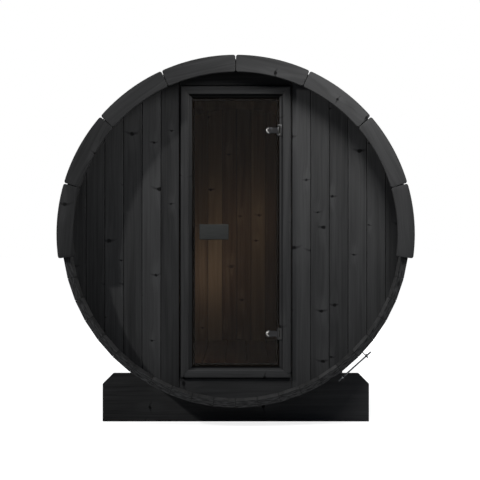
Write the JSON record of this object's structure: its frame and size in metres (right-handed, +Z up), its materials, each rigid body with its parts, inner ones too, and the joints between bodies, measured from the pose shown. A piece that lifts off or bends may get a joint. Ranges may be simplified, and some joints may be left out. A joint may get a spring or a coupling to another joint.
{
  "type": "barrel sauna",
  "caption": "Barrel sauna of black-stained staves lying on two cradles, with a shingled upper half, steel hoops and a bronze glass door that swings outwards.",
  "frame": {"origin": "on the ground, under the middle of the barrel", "axes": "+Z is up, +Y runs along the barrel from the door to the back wall, and +X is to the right seen from the door's side"},
  "size_m": [2.0678, 2.356, 2.1482],
  "materials": {
    "black_wood": "black stain, matt, on sawn and planed spruce",
    "cradle_wood": "black stain, matt",
    "bare_wood": "planed, untreated",
    "shingle": "bitumen with slate granules",
    "zinc_steel": "zinc plated",
    "hinge_steel": "satin",
    "bronze_glass": "tempered, bronze tinted",
    "handle_grey": "dark grey stain, smooth"
  },
  "bodies": {
    "cabin": {"staves_keel_left": "black_wood", "staves_keel_right": "black_wood", "staves_bilge_left": "black_wood", "staves_bilge_right": "black_wood", "staves_shoulder_left": "black_wood", "staves_shoulder_right": "black_wood", "staves_crown_left": "black_wood", "staves_crown_right": "black_wood", "front_wall_left": "black_wood", "front_wall_right": "black_wood", "front_wall_header": "black_wood", "front_wall_base": "black_wood", "back_wall_left": "black_wood", "back_wall_right": "black_wood", "door_jamb_left": "black_wood", "door_jamb_right": "black_wood", "door_head": "black_wood", "door_sill": "black_wood", "upper_hinge_plate": "hinge_steel", "lower_hinge_plate": "hinge_steel", "front_cradle": "cradle_wood", "rear_cradle": "cradle_wood", "front_hoop": "zinc_steel", "rear_hoop": "zinc_steel", "front_hoop_lugs": "zinc_steel", "rear_hoop_lugs": "zinc_steel", "front_tension_rod": "zinc_steel", "rear_tension_rod": "zinc_steel", "floor_boards": "bare_wood", "floor_bearers": "bare_wood", "roof_courses_left": "shingle", "roof_courses_right": "shingle", "eaves_strips": "black_wood", "front_fascia_left": "black_wood", "front_fascia_right": "black_wood", "rear_fascia_left": "black_wood", "rear_fascia_right": "black_wood"},
    "door": {"door_glass": "bronze_glass", "door_handle_outer": "handle_grey", "door_handle_inner": "handle_grey", "upper_hinge_arm": "hinge_steel", "lower_hinge_arm": "hinge_steel"}
  },
  "joints": [
    {"name": "door_swing", "type": "hinge", "parent": "cabin", "child": "door", "pos_m": [0.25, -1.035, 1.13024], "axis": [0, 0, 1], "range_deg": [0, 110]}
  ]
}
